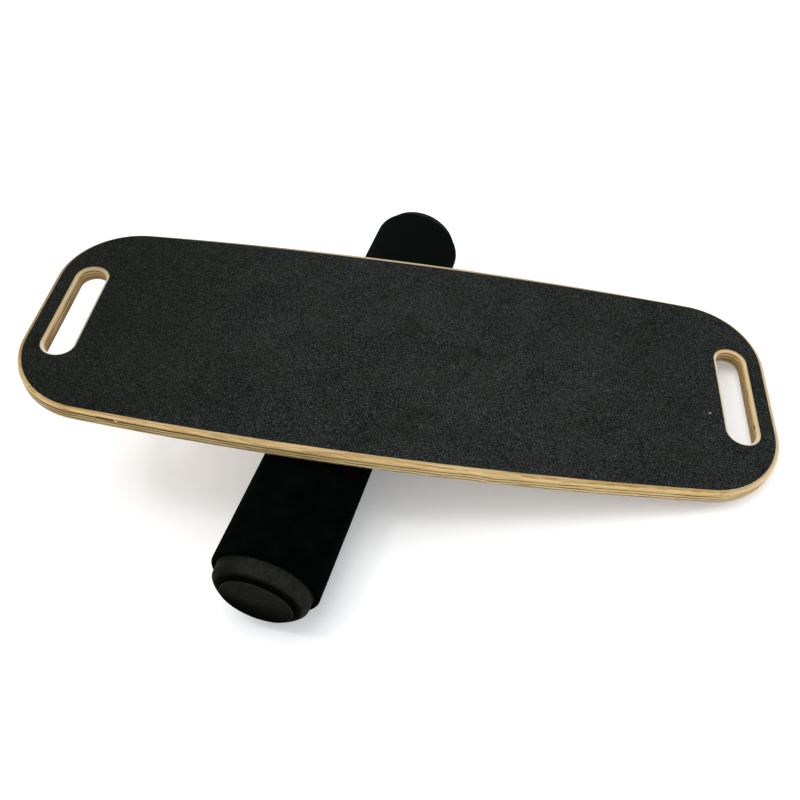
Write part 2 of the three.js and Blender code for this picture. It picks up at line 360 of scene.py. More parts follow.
class PlywoodFinish(Finish):
    """Birch plywood: plies along its edges, long grain on its faces, and a clear lacquer. Where something
    lies is given by two places in millimetres, between which a mask rises from 0 to 1."""

    def __init__(self):
        super().__init__("lacquered_plywood", deck_place)
        self.x, self.y, self.z = self.axes()
        self.below_top = DECK_THICKNESS - self.z
        self.near_side = self.spread(-self.y, 110, 125)
        self.left_half = self.spread(-self.x, 0, 50)
        self.right_half = self.spread(self.x, 0, 50)
        self.to_left_end = self.spread(-self.x, 40, 330)
        self.in_slots = self.close_to(self.x.size(), SLOT_X, 22, 20) * self.spread(self.y.size(), 72, 68)
        self.wobble = self.noise((24, 24, 12)) - 0.5
        self.streaks = self.noise((30, 30, 1.2), 4, 0.65, 0.3)
        self.pores = self.noise((0.9, 0.9, 2.2), 2, 0.6)
        self.warmth = self.noise((40, 40, 3))
        rust = self.noise((26, 3, 26))
        self.rusty = self.spread(rust, 0.5, 0.66) * self.near_side * self.spread(self.x, -150, 60, 0.3, 1)

    def ply_depth(self):
        """The depth below the top that a ply would have in a flat sheet, because plies wave and bend."""
        wave = self.noise((90, 90, 60), 1) - 0.5
        hump = self.close_to(self.x, HUMP_X, 26, 0) * self.near_side
        dip = self.close_to(self.x, DIP_X, 18, 0) * self.near_side
        pressed = (self.to_left_end * 2.2).most(self.in_slots * 3)
        waved = self.below_top + wave * 1.4 + self.wobble * 1.2 + pressed
        return waved + hump * HUMP_HEIGHT - dip * HUMP_HEIGHT

    def plies(self, depth):
        """The tone of the ply at this depth, as seen along the deck or across its ends."""
        along, across = [], []
        ends = [start for start, _, _ in PLIES[1:]] + [DECK_THICKNESS]
        for (start, tone_along, tone_across), end in zip(PLIES, ends):
            for stops, colour in ((along, tone_along), (across, tone_across)):
                stops.append(((start + PLY_BLUR) / DECK_THICKNESS, colour))
                stops.append(((end - PLY_BLUR) / DECK_THICKNESS, colour))
        share = depth / DECK_THICKNESS
        faces_end = self.add("ShaderNodeAttribute", {"attribute_name": "faces_end"}, output="Fac")
        on_end = self.spread(faces_end, 0.8, 0.97)
        return self.mix(on_end, self.ramp(share, *along), self.ramp(share, *across))

    def rim_coats(self):
        """Coats for the edge and for the face where the rims are paler, darker or rubbed."""
        x, y, in_slots = self.x, self.y, self.in_slots
        right_rim = self.spread(x, 300, 390) * (1 - in_slots)
        far_rim = self.spread(y, 100, 120)
        far_left = (far_rim * self.spread(-x, 60, 230)).most(self.spread(-x, 300, 330) * self.spread(y, 40, 80))
        left_rim = self.spread(-x, 366, 392) * self.spread(y, -110, -60)
        inner_side = self.spread(x, 12 - SLOT_X, 15 - SLOT_X) * self.left_half
        inner_rim = in_slots * inner_side * self.spread(y.size(), 54, 47)
        low_rim = in_slots * self.spread(-y, 46, 60).most(self.spread(SLOT_X - x, 12, 15) * self.right_half)
        ragged_depth = self.below_top + self.wobble * 6
        rubbed = in_slots * self.spread(x, SLOT_X - 2, SLOT_X + 10) * self.close_to(ragged_depth, 7, 5, 2)
        top_rim = in_slots * self.spread(y, 50, 62) * self.right_half
        top_share = self.spread(self.warmth, 0.42, 0.56) * 0.6
        # Each row: where it lies, the depths over which it fades, and its coats on the edge and on the face
        rows = [
            (in_slots, (3, 1.2), (0.75, tone(214, 194, 156)), (0.7, tone(204, 182, 142))),
            (right_rim, (5, 2), (0.75, tone(214, 190, 162)), (0.6, tone(204, 178, 148))),
            # the far rims paler: painted sheen, on the edge and on the face
            (far_rim, (5, 2), (0.6, tone(200, 186, 166)), (0.5, tone(180, 164, 142))),
            (far_left, (3, 1), (0.75, tone(116, 110, 96)), (0.8, tone(92, 90, 80))),
            (left_rim, (5, 2), (0.5, tone(150, 132, 104)), (0.7, tone(124, 104, 78))),
            (inner_rim, None, (0.8, tone(150, 148, 130)), (0.85, tone(140, 140, 124))),
            (low_rim, (4, 2), (0.75, tone(218, 208, 184)), (0.75, tone(208, 200, 176))),
            (rubbed, None, (0.4, tone(146, 106, 52)), None),
            (top_rim, (4, 2), (top_share, tone(182, 134, 76)), (0.4, tone(182, 134, 76))),
        ]
        edge_coats, face_coats = [], []
        for where, fade, (share, colour), face_coat in rows:
            faded = where * self.spread(self.below_top, *fade) if fade else where
            edge_coats.append((faded * share, colour))
            if face_coat:
                face_coats.append((where * face_coat[0], face_coat[1]))
        return edge_coats, face_coats

    def edge(self, rim_coats):
        """The plies with their streaks and pores, and the marks of the near side and of the slots."""
        depth = self.ply_depth()
        streaks, near_side = self.streaks, self.near_side
        dark_streaks = self.spread(streaks, 0.5, 0.68, 0, 0.8)
        light_streaks = self.spread(streaks, 0.48, 0.32, 0, 0.7)
        warm_patches = self.spread(self.warmth, 0.52, 0.68, 0, 0.4)
        open_pores = self.spread(self.pores, 0.56, 0.78, 0, 0.45)
        # painted shade on the lower plies towards the left end, broken up by the streaks
        left_end_shade = self.spread(streaks, 0.25, 0.6) * self.to_left_end * self.spread(depth, 4, 7)
        left_near = self.spread(-self.x, 40, 230) * near_side
        left_line = self.close_to(depth, GLUE_LINE_DEPTH, 1.9, 0.9) * left_near
        slit = self.close_to(depth, SLIT_DEPTH, 1.5, 1.1) * self.close_to(self.x, SLIT_X, 10, 8) * near_side
        chip = self.close_to(depth, GLUE_LINE_DEPTH, 1.1, 0.6) * self.close_to(self.x, CHIP_X, 2, 1) * near_side
        knot_depth = self.below_top - KNOT_DEPTH
        from_knot = ((self.x - KNOT_X) ** 2 + (self.y - KNOT_Y) ** 2 * 0.3 + knot_depth**2) ** 0.5
        # painted shade: the walls of the slots darker towards the underside
        low_slot_shade = self.in_slots * self.spread(self.below_top, 5, 13)
        return self.coated(
            self.plies(depth),
            (dark_streaks, tone(116, 84, 34)),
            (light_streaks, tone(228, 202, 152)),
            (warm_patches, tone(206, 168, 128)),
            (open_pores, tone(110, 80, 38)),
            # painted shade towards the left end
            (left_end_shade * 0.5, tone(104, 76, 24)),
            (left_line * 0.9, tone(92, 64, 8)),
            (slit, tone(44, 16, 0)),
            (chip, tone(216, 192, 140)),
            *rim_coats,
            (low_slot_shade * 0.45, tone(104, 74, 34)),
            (self.spread(from_knot, 2.2, 0.9) * 0.8, tone(70, 42, 14)),
        )

    def face(self, rim_coats):
        """The veneer, with its rims marked on the top alone."""
        figure = self.noise((160, 7, 30), 4, 0.6, 0.4)
        lines = self.noise((45, 1.2, 30), 3, 0.65)
        veneer = self.coated(
            self.mix(self.spread(figure, 0.35, 0.7), tone(170, 146, 100), tone(190, 169, 124)),
            (self.spread(lines, 0.5, 0.7, 0, 0.75), tone(134, 102, 58)),
            (self.spread(lines, 0.48, 0.3, 0, 0.75), tone(220, 194, 150)),
            (self.rusty * 0.3, tone(186, 130, 84)),
        )
        underside = self.mix(0.5, veneer, tone(206, 180, 138))
        on_top = self.spread(self.below_top, 6, 3)
        return self.mix(on_top, underside, self.coated(veneer, *rim_coats))

    def finished(self):
        edge_coats, face_coats = self.rim_coats()
        half = DECK_THICKNESS / 2
        on_face = self.spread((self.z - half).size(), half - 0.6, half - 0.2)
        at_top = self.spread(self.below_top, 0.03, 0.15) * self.spread(self.below_top, 1.4, 0.8)
        rust_line = self.near_side * at_top * (self.rusty * 0.5 + 0.25)
        colour = self.mix(on_face, self.edge(edge_coats), self.face(face_coats))
        return self.close(
            Base_Color=self.mix(rust_line, colour, tone(150, 104, 50)),
            Roughness=self.spread(self.streaks, 0.3, 0.7, 0.4, 0.54),
            Specular_IOR_Level=0.06,
            Normal=self.bump(self.streaks + self.pores * 0.5, 0.05, 0.5),
        )


def grit_cloth():
    """Black silicon carbide grit on a thin sheet: grains of half a millimetre, a few painted lighter as glints,
    which is a painted highlight, and darker towards the left end, which is painted shade.
    """
    work = Finish("black_grit", deck_place)
    x, y, _ = work.axes()
    grains = work.cells(0.7)
    chance = work.add("ShaderNodeSeparateColor", None, {"Color": grains.of("Color")})
    coarse = work.noise(1.9, 2, 0.6)
    patches = work.noise(60, 3, 0.55)
    olive = work.noise(30, 3, 0.6)
    worn = work.noise((44, 30, 30), 3, 0.6, 0.4)
    level = chance.of("Red") * 0.75 + coarse * 0.6 + patches * 0.3
    fleck = work.close_to(x, FLECK_X, 1.6, 0.9) * work.close_to(y, FLECK_Y, 1.1, 0.6)
    colour = work.coated(
        work.ramp(level * 0.63, (0.28, tone(5, 6, 4)), (0.5, tone(22, 25, 24)), (0.8, tone(63, 68, 66))),
        # painted highlight: a few grains lighter, as glints
        (chance.of("Green").above(0.985), tone(84, 87, 84)),
        # painted shade: the grit darker towards the left end
        (work.spread(-x, 60, 330, 0, 0.45), tone(15, 14, 7)),
        (work.spread(olive, 0.5, 0.66, 0, 0.3), tone(26, 26, 14)),
        (work.spread(worn, 0.6, 0.74, 0, 0.45), tone(6, 7, 6)),
        (fleck, tone(150, 148, 138)),
    )
    return work.close(
        Base_Color=colour,
        Roughness=work.spread(chance.of("Blue"), 0, 1, 0.75, 0.95),
        Specular_IOR_Level=0.03,
        Normal=work.bump(coarse * 0.6 - grains.of("Distance"), 0.25, 0.6),
    )


def foam_skin():
    """Black closed-cell foam with a dull, faintly dimpled skin, a little greyer towards its far end."""
    work = Finish("matte_foam", roller_place)
    _, y, _ = work.axes()
    dimples = work.cells(1.1, "SMOOTH_F1")
    cloud = work.noise(18, 3)
    black = work.ramp(cloud, (0.3, tone(1, 3, 2)), (0.7, tone(6, 8, 7)))
    return work.close(
        Base_Color=work.mix(work.spread(y, 60, 200, 0, 0.6), black, tone(13, 17, 15)),
        Roughness=work.spread(cloud, 0.3, 0.7, 0.88, 0.97),
        Specular_IOR_Level=0.005,
        Normal=work.bump(dimples.of("Distance") + cloud * 0.5, 0.12, 0.4),
    )


def cap_rubber():
    """Black moulded rubber, scuffed grey on its band and disc. Painted shade keeps it near black at the foot of
    its lip, on the lower part of its disc and where it meets the tube; painted light makes its band's scuffs
    lighter to one side and the upper part of its disc lighter, with a painted highlight on the crest of its lip."""
    work = Finish("moulded_rubber", roller_place)
    x, y, z = work.axes()
    off_axis = (x * x + z * z) ** 0.5
    on_band = work.spread(off_axis, 42.5, 46.5)
    on_disc = work.spread(off_axis, CAP_LIP_RADIUS, CAP_LIP_RADIUS - 0.6)
    past_lip = work.spread(off_axis, CAP_LIP_RADIUS + 0.2, CAP_LIP_RADIUS + 1.2)
    foot_shade = past_lip * work.spread(off_axis, 46, 41)
    low_disc_shade = work.spread(z + x * 0.6, 5, -32) * work.spread(off_axis, 36.5, 35)
    seam_shade = work.spread(y.size(), ROLLER_HALF + 1.6, ROLLER_HALF + 0.8)
    grain = work.noise(0.5)
    specks = work.noise(1.3, 3, 0.7)
    cloud = work.noise((16, 30, 16), 4, 0.6)
    smears = work.noise((6, 30, 6), 4, 0.65, 0.8)
    scuffs = work.spread(work.noise((7, 14, 7), 4, 0.7, 0.6), 0.38, 0.6, 0.35, 1)
    colour = work.coated(
        work.ramp(cloud, (0.3, tone(8, 9, 6)), (0.7, tone(18, 20, 15))),
        (work.spread(smears, 0.45, 0.75, 0, 0.55), tone(31, 33, 27)),
        # the band's scuffs, lighter towards one side: real scuffs with painted sheen
        (on_band * scuffs * work.spread(x, -18, 6, 0.2, 0.8), tone(39, 40, 35)),
        # the disc's scuffs, lighter on its upper part: real scuffs with painted light
        (on_disc * scuffs * work.spread(z, -14, 8, 0, 0.45), tone(42, 44, 36)),
        (work.spread(specks, 0.5, 0.75, 0, 0.4), tone(49, 51, 44)),
        # painted shade: near black at the foot of the lip, on the lower disc and at the seam with the tube
        (low_disc_shade.most(foot_shade).most(seam_shade) * 0.92, tone(2, 2, 1)),
        # painted highlight along the crest of the lip
        (work.close_to(off_axis, CAP_LIP_RADIUS, 0.8, 0.3) * 0.45, tone(52, 53, 45)),
    )
    return work.close(
        Base_Color=colour,
        Roughness=work.spread(cloud, 0.3, 0.7, 0.86, 0.96) - on_band * 0.4,
        Specular_IOR_Level=0.008,
        Normal=work.bump(grain, 0.04, 0.35),
    )


def stop_hardwood():
    """Beech, with fine grain along each stop and short dark flecks."""
    work = Finish("oiled_beech", deck_place)
    grain = work.noise((2.2, 60, 2.2), 4, 0.6, 0.3)
    flecks = work.noise((0.7, 4, 0.7))
    stops = [(0.3, tone(170, 122, 78)), (0.55, tone(196, 148, 100)), (0.75, tone(206, 162, 116))]
    beech = work.ramp(grain, *stops)
    return work.close(
        Base_Color=work.mix(work.spread(flecks, 0.6, 0.72, 0, 0.5), beech, tone(128, 84, 48)),
        Roughness=work.spread(grain, 0.3, 0.7, 0.5, 0.62),
        Specular_IOR_Level=0.35,
        Normal=work.bump(grain + flecks * 0.4, 0.06, 0.5),
    )


def screw_steel():
    """Zinc-plated steel with faint turning marks."""
    work = Finish("zinc_steel", deck_place)
    marks = work.noise((1.5, 1.5, 0.15))
    return work.close(
        Base_Color=work.ramp(marks, (0.3, tone(168, 170, 170)), (0.7, tone(198, 199, 196))),
        Metallic=1,
        Roughness=work.spread(marks, 0.3, 0.7, 0.28, 0.42),
    )


def tube_plastic():
    """Grey plastic pipe with fine lines drawn along it, and its ends painted near black as painted shade in the
    gap beside the caps.
    """
    work = Finish("grey_pipe", roller_place)
    _, y, _ = work.axes()
    lines = work.noise((1.2, 90, 1.2), 3)
    pipe = work.ramp(lines, (0.3, tone(128, 130, 131)), (0.7, tone(150, 152, 152)))
    # painted shade: the pipe's ends near black, where they show through the gap between cap and foam
    end_gap_shade = work.spread(y.size(), ROLLER_HALF - 1.5, ROLLER_HALF - 0.7)
    return work.close(
        Base_Color=work.mix(end_gap_shade, pipe, tone(12, 12, 12)),
        Roughness=work.spread(lines, 0.3, 0.7, 0.42, 0.55),
    )


FINISHES = {
    "birch_plywood": PlywoodFinish().finished(),
    "grit": grit_cloth(),
    "foam": foam_skin(),
    "cap_rubber": cap_rubber(),
    "stop_hardwood": stop_hardwood(),
    "screw_steel": screw_steel(),
    "tube_plastic": tube_plastic(),
}


# Outlines
def board_outline(length, width, bow, corner):
    """Points round a board, anticlockwise: bowed long sides, round corners and straight ends."""
    half = length / 2

    def side(x):
        return width / 2 - bow * (x / half) ** 2

    def side_lean(x):
        return math.atan(2 * bow * x / half**2)

    centre_x = half - corner
    tangent_x = centre_x
    for _ in range(TANGENT_TRIES):
        tangent_x = centre_x + corner * math.sin(side_lean(tangent_x))
    lean = side_lean(tangent_x)
    centre_y = side(tangent_x) - corner * math.cos(lean)
    quarter = [(half, centre_y * i / END_STEPS) for i in range(END_STEPS)]
    for i in range(CORNER_STEPS):
        angle = (math.pi / 2 - lean) * i / CORNER_STEPS
        quarter.append((centre_x + corner * math.cos(angle), centre_y + corner * math.sin(angle)))
    for i in range(HALF_SIDE_STEPS):
        x = tangent_x * (1 - i / HALF_SIDE_STEPS)
        quarter.append((x, side(x)))
    top = quarter + [(0, side(0))] + [(-x, y) for x, y in reversed(quarter[1:])]
    return top + [(-half, 0)] + [(x, -y) for x, y in reversed(top[1:])]


def slot_outline(centre_x, length, width):
    """Points round a slot with full round ends, clockwise, because it is a hole."""
    radius = width / 2
    straight = length / 2 - radius
    points = []
    for i in range(SLOT_STEPS + 1):
        angle = math.pi * i / SLOT_STEPS
        points.append((centre_x - radius * math.cos(angle), straight + radius * math.sin(angle)))
    for i in range(1, END_STEPS):
        points.append((centre_x + radius, straight * (1 - 2 * i / END_STEPS)))
    return points + [(2 * centre_x - x, -y) for x, y in points]


def linked(name, data):
    """A new object in the scene, which holds this mesh, lamp or camera."""
    made = bpy.data.objects.new(name, data)
    bpy.context.scene.collection.objects.link(made)
    return made


def mesh_of(name, points, edges, faces):
    mesh = bpy.data.meshes.new(name)
    mesh.from_pydata(points, edges, faces)
    return mesh


def loops_object(name, loops):
    """An object of closed loops of edges on z = 0, in millimetres."""
    points = []
    edges = []
    for loop in loops:
        first = len(points)
        points.extend((x, y, 0) for x, y in loop)
        edges.extend((first + i, first + (i + 1) % len(loop)) for i in range(len(loop)))
    return linked(name, mesh_of(name, points, edges, []))


# Geometry trees
class ShapeTree(Tree):
    """A geometry tree with named inputs, which ends in Realize Instances and Set Material."""

    def __init__(self, name, inputs):
        tree = bpy.data.node_groups.new(name, "GeometryNodeTree")
        super().__init__(tree)
        tree.interface.new_socket("Geometry", in_out="INPUT", socket_type="NodeSocketGeometry")
        for label, kind in inputs.items():
            tree.interface.new_socket(label, in_out="INPUT", socket_type=f"NodeSocket{kind}")
        tree.interface.new_socket("Geometry", in_out="OUTPUT", socket_type="NodeSocketGeometry")
        self.start = self.add("NodeGroupInput")

    def given(self, label):
        return self.start.of(label)

    def join(self, *parts):
        return self.add("GeometryNodeJoinGeometry", None, {"Geometry": list(parts)})

    def xyz(self, x, y, z):
        return self.add("ShaderNodeCombineXYZ", None, {"X": x, "Y": y, "Z": z})

    def end(self, shape):
        real = self.add("GeometryNodeRealizeInstances", None, {"Geometry": shape})
        coat = {"Geometry": real, "Material": self.given("Finish")}
        self.add("NodeGroupOutput", None, {"Geometry": self.add("GeometryNodeSetMaterial", None, coat)})
        return self.tree


def plate_tree():
    """Loops become a plate with rounded edges: a section swept along each loop, and two filled faces."""
    inputs = {"Thickness": "Float", "Edge Round": "Float", "Flat Rim": "Float", "Round Steps": "Int"}
    work = ShapeTree("rounded_plate", {**inputs, "Finish": "Material"})
    thickness = work.given("Thickness")
    inset = work.given("Edge Round") + work.given("Flat Rim")
    loops = work.add("GeometryNodeMeshToCurve", None, {"Mesh": work.given("Geometry")})
    loops = work.add("GeometryNodeSetCurveNormal", {"mode": "Z_UP"}, {"Curve": loops})
    corners = {
        "Point 1": work.xyz(-inset, -thickness, 0),
        "Point 2": work.xyz(0, -thickness, 0),
        "Point 3": work.xyz(0, 0, 0),
        "Point 4": work.xyz(-inset, 0, 0),
    }
    section = work.add("GeometryNodeCurvePrimitiveQuadrilateral", {"mode": "POINTS"}, corners)
    section = work.add("GeometryNodeSetSplineCyclic", None, {"Geometry": section, "Cyclic": False})
    rounding = {"Curve": section, "Count": work.given("Round Steps"), "Radius": work.given("Edge Round")}
    section = work.add("GeometryNodeFilletCurve", {"mode": "POLY"}, rounding)
    band = work.add("GeometryNodeCurveToMesh", None, {"Curve": loops, "Profile Curve": section})
    inwards = {"Vector": work.add("GeometryNodeInputNormal"), "Scale": -inset}
    offset = work.add("ShaderNodeVectorMath", {"operation": "SCALE"}, inwards)
    rim = work.add("GeometryNodeSetPosition", None, {"Geometry": loops, "Offset": offset})
    fill = work.add("GeometryNodeFillCurve", {"mode": "TRIANGLES"}, {"Curve": rim})
    raised = {"Geometry": fill, "Translation": work.xyz(0, 0, thickness)}
    top = work.add("GeometryNodeTransform", None, raised)
    under = work.add("GeometryNodeFlipFaces", None, {"Mesh": fill})
    whole = {"Geometry": work.join(band, top, under), "Distance": MERGE_DISTANCE}
    return work.end(work.add("GeometryNodeMergeByDistance", None, whole))


def screws_tree():
    """One screw, repeated at even steps along y about the middle of a row on each side, each with its own
    turn. Socket 3 of the random value is the most that it may be, and output 1 is the number."""
    inputs = {"Screw": "Object", "Count": "Int", "Spacing": "Float", "Row Place": "Float", "Finish": "Material"}
    work = ShapeTree("screw_rows", inputs)
    spacing = work.given("Spacing")
    half_row = (work.given("Count") - 1) * spacing * 0.5
    rows = []
    for side in (-1, 1):
        line = {
            "Count": work.given("Count"),
            "Start Location": work.xyz(work.given("Row Place") * side, -half_row, 0),
            "Offset": work.xyz(0, spacing, 0),
        }
        rows.append(work.add("GeometryNodeMeshLine", {"mode": "OFFSET"}, line))
    screw = work.add("GeometryNodeObjectInfo", None, {"Object": work.given("Screw")}, output="Geometry")
    most = {3: math.pi / 2, "Seed": 7}
    turn = work.add("FunctionNodeRandomValue", {"data_type": "FLOAT"}, most, output=1)
    placed = {"Points": work.join(*rows), "Instance": screw, "Rotation": work.xyz(0, 0, turn)}
    return work.end(work.add("GeometryNodeInstanceOnPoints", None, placed))


def evaluated_mesh(source):
    mesh = bpy.data.meshes.new_from_object(source.evaluated_get(bpy.context.evaluated_depsgraph_get()))
    mesh.materials.clear()
    return mesh


def grown(source, tree, values, name, place):
    """The mesh that a geometry tree makes of an object, at its place in the model's frame, in metres."""
    modifier = source.modifiers.new(name, "NODES")
    modifier.node_group = tree
    for item in tree.interface.items_tree:
        if item.in_out == "INPUT" and item.name in values:
            modifier[item.identifier] = values[item.name]
    source.update_tag()
    mesh = evaluated_mesh(source)
    source.modifiers.remove(modifier)
    bpy.data.objects.remove(source)
    mesh.polygons.foreach_set("material_index", [0] * len(mesh.polygons))
    return placed_piece(name, mesh, place)


def placed_piece(name, mesh, place):
    """An object at the origin whose mesh, given in millimetres, lies at its place in metres."""
    mesh.transform(place @ Matrix.Scale(MM, 4))
    mesh.name = name
    mesh.shade_smooth()
    mesh.set_sharp_from_angle(angle=SHARP_ANGLE)
    return linked(name, mesh)


def dress(piece, body, slot, *nodes):
    """The piece gets its finish, rides on its body and stands for these nodes of the model."""
    piece.data.materials.append(FINISHES[slot])
    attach(piece, body)
    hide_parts(*nodes)


# Deck and grit sheet
rounded_plate = plate_tree()


def plate(name, slot, outline, slot_margin, sizes, place):
    """A rounded plate of this outline, with both hand slots cut out of it, wider by a margin all round."""
    slot_size = (SLOT_LENGTH + 2 * slot_margin, SLOT_WIDTH + 2 * slot_margin)
    loops = [outline, *(slot_outline(side * SLOT_X, *slot_size) for side in (-1, 1))]
    values = dict(zip(("Thickness", "Edge Round", "Flat Rim", "Round Steps"), sizes))
    values["Finish"] = FINISHES[slot]
    return grown(loops_object(f"{name}_loops", loops), rounded_plate, values, name, place)


def mark_ends(piece):
    """Keeps, at each point, how far the surface there faces along the deck."""
    turned = deck_place.to_3x3().inverted()
    facing = [abs((turned @ vertex.normal).x) for vertex in piece.data.vertices]
    piece.data.attributes.new("faces_end", "FLOAT", "POINT").data.foreach_set("value", facing)


deck = plate(
    "plywood_deck",
    "birch_plywood",
    board_outline(DECK_LENGTH, DECK_WIDTH, DECK_BOW, DECK_CORNER),
    0,
    (DECK_THICKNESS, DECK_ROUND, DECK_FLAT_RIM, DECK_ROUND_STEPS),
    deck_place,
)
mark_ends(deck)
dress(deck, "board", "birch_plywood", "deck")

grit_sheet = plate(
    "grit_cloth",
    "grit",
    board_outline(GRIT_LENGTH, GRIT_WIDTH, GRIT_BOW, GRIT_CORNER),
    GRIT_SLOT_MARGIN,
    (GRIT_THICKNESS, GRIT_ROUND, GRIT_FLAT_RIM, GRIT_ROUND_STEPS),
    deck_place @ Matrix.Translation((0, 0, (GRIT_TOP - GRIT_THICKNESS) * MM)),
)
dress(grit_sheet, "board", "grit", "grip_sheet")


# Turned pieces
def turned_mesh(name, profile, closed=False):
    """A shape turned about the y axis from (radius, distance along y) points. Radius 0 makes a pole."""
    points = []
    rings = []
    for radius, along in profile:
        first = len(points)
        if radius == 0:
            points.append((0, along, 0))
            rings.append([first] * TURNED_STEPS)
            continue
        for i in range(TURNED_STEPS):
            angle = 2 * math.pi * i / TURNED_STEPS
            points.append((radius * math.sin(angle), along, radius * math.cos(angle)))
        rings.append([first + i for i in range(TURNED_STEPS)])
    following = rings[1:] + rings[:1] if closed else rings[1:]
    faces = []
    for ring, next_ring in zip(rings, following):
        for i in range(TURNED_STEPS):
            j = (i + 1) % TURNED_STEPS
            corners = [ring[i], ring[j], next_ring[j], next_ring[i]]
            faces.append(list(dict.fromkeys(corners)))
    mesh = mesh_of(name, points, [], faces)
    mesh.validate()
    return mesh


def arc(centre, radius, first, last, steps):
    """Points of an arc in a profile, with angles in degrees from the radial direction."""
    points = []
    for i in range(steps + 1):
        angle = math.radians(first + (last - first) * i / steps)
        points.append((centre[0] + radius * math.cos(angle), centre[1] + radius * math.sin(angle)))
    return points


def sleeve_profile():
    at = SLEEVE_RADIUS - SLEEVE_END_ROUND
    end = ROLLER_HALF - SLEEVE_END_ROUND
    outside = arc((at, -end), SLEEVE_END_ROUND, -90, 0, SLEEVE_ROUND_STEPS)
    outside += [(SLEEVE_RADIUS, end * share) for share in (-0.5, 0, 0.5)]
    outside += arc((at, end), SLEEVE_END_ROUND, 0, 90, SLEEVE_ROUND_STEPS)
    return [(SLEEVE_BORE, -ROLLER_HALF), *outside, (SLEEVE_BORE, ROLLER_HALF)]


sleeve = placed_piece("foam_cover", turned_mesh("foam_cover", sleeve_profile(), closed=True), roller_place)
dress(sleeve, "roller", "foam", "foam_sleeve")


def cap_outside():
    """The cap's shoulder and domed slope, from the band inwards to the foot of the lip."""
    shoulder = (CAP_BAND_RADIUS - CAP_SHOULDER_ROUND, CAP_SHOULDER_HEIGHT)
    angle = math.radians(CAP_SLOPE_FROM)
    reach = CAP_SLOPE_ROUND - CAP_SHOULDER_ROUND
    slope = (shoulder[0] - reach * math.cos(angle), shoulder[1] - reach * math.sin(angle))
    points = arc(shoulder, CAP_SHOULDER_ROUND, 0, CAP_SLOPE_FROM, CAP_ROUND_STEPS)
    return points + arc(slope, CAP_SLOPE_ROUND, CAP_SLOPE_FROM, CAP_SLOPE_TO, CAP_ROUND_STEPS)[1:]


def cap_profile():
    """The cap from the middle of its disc outwards over the lip, the slope, the shoulder and the band, then
    down its skirt and back inside."""
    outside = cap_outside()
    foot, foot_height = outside[-1]
    foot_ease, foot_top = CAP_FOOT_EASE, foot_height + CAP_FOOT_EASE
    lip = foot - CAP_LIP_GAP
    lip_inside = lip - CAP_LIP_WIDTH
    lip_top = foot_height + CAP_LIP_HEIGHT
    disc = lip_top - CAP_DISC_DROP
    slope_top = CAP_SHOULDER_HEIGHT + CAP_SHOULDER_ROUND * math.sin(math.radians(CAP_SLOPE_FROM))
    under_shoulder = slope_top - CAP_WALL
    skirt_bore = CAP_SKIRT_RADIUS - CAP_WALL
    inner_ease = (lip_inside + CAP_LIP_INNER_INSET, lip_top - CAP_LIP_INNER_EASE)
    outer_ease = (lip - CAP_LIP_EASE, lip_top - CAP_LIP_EASE)
    band_edge = CAP_BAND_RADIUS - CAP_BAND_EASE
    return [
        (0, disc),
        (lip * 0.5, disc),
        (lip_inside - CAP_LIP_EASE, disc),
        *arc((lip_inside - foot_ease, disc + foot_ease), foot_ease, -60, 0, CAP_FOOT_STEPS),
        *arc(inner_ease, CAP_LIP_INNER_EASE, 180, 90, CAP_EASE_STEPS),
        *arc(outer_ease, CAP_LIP_EASE, 90, 0, CAP_EASE_STEPS),
        (lip, foot_top),
        *arc((lip + foot_ease, foot_top), foot_ease, 180, 270, CAP_FOOT_STEPS),
        *reversed(outside),
        (CAP_BAND_RADIUS, CAP_BAND_START),
        *arc((band_edge, CAP_BAND_START), CAP_BAND_EASE, 0, -90, CAP_EASE_STEPS),
        (CAP_SKIRT_RADIUS, CAP_BAND_START - CAP_BAND_EASE),
        (CAP_SKIRT_RADIUS, CAP_SKIRT_END + CAP_SKIRT_EASE),
        (CAP_SKIRT_RADIUS - CAP_SKIRT_EASE, CAP_SKIRT_END),
        (skirt_bore, CAP_SKIRT_END),
        (skirt_bore, under_shoulder),
        (lip - CAP_WALL, under_shoulder),
        (lip - CAP_WALL, disc - CAP_WALL),
        (0, disc - CAP_WALL),
    ]


for side, name, node in ((-1, "near_cap", "end_cap_near"), (1, "far_cap", "end_cap_far")):
    profile = [(radius, side * (ROLLER_HALF + along)) for radius, along in cap_profile()]
    if side > 0:
        profile.reverse()
    cap = placed_piece(name, turned_mesh(name, profile), roller_place)
    dress(cap, "roller", "cap_rubber", node)


# Shapes of screws and of their holes
def screw_rings(profile):
    """Points and faces of a shape turned about z from (radius, height) points, closed at its first ring."""
    points = []
    for radius, height in profile:
        for i in range(SCREW_STEPS):
            angle = 2 * math.pi * i / SCREW_STEPS
            points.append((radius * math.cos(angle), radius * math.sin(angle), height))
    faces = [list(reversed(range(SCREW_STEPS)))]
    for ring in range(len(profile) - 1):
        first = ring * SCREW_STEPS
        for i in range(SCREW_STEPS):
            j = (i + 1) % SCREW_STEPS
            faces.append([first + i, first + j, first + SCREW_STEPS + j, first + SCREW_STEPS + i])
    return points, faces


def carved(name, mesh, cutter):
    """The mesh with the cutter's shape taken out of it."""
    block, tool = linked(name, mesh), linked("cutter", cutter)
    carve = block.modifiers.new("carve", "BOOLEAN")
    carve.operation = "DIFFERENCE"
    carve.solver = "EXACT"
    carve.object = tool
    cut = evaluated_mesh(block)
    bpy.data.objects.remove(block)
    bpy.data.objects.remove(tool)
    return cut


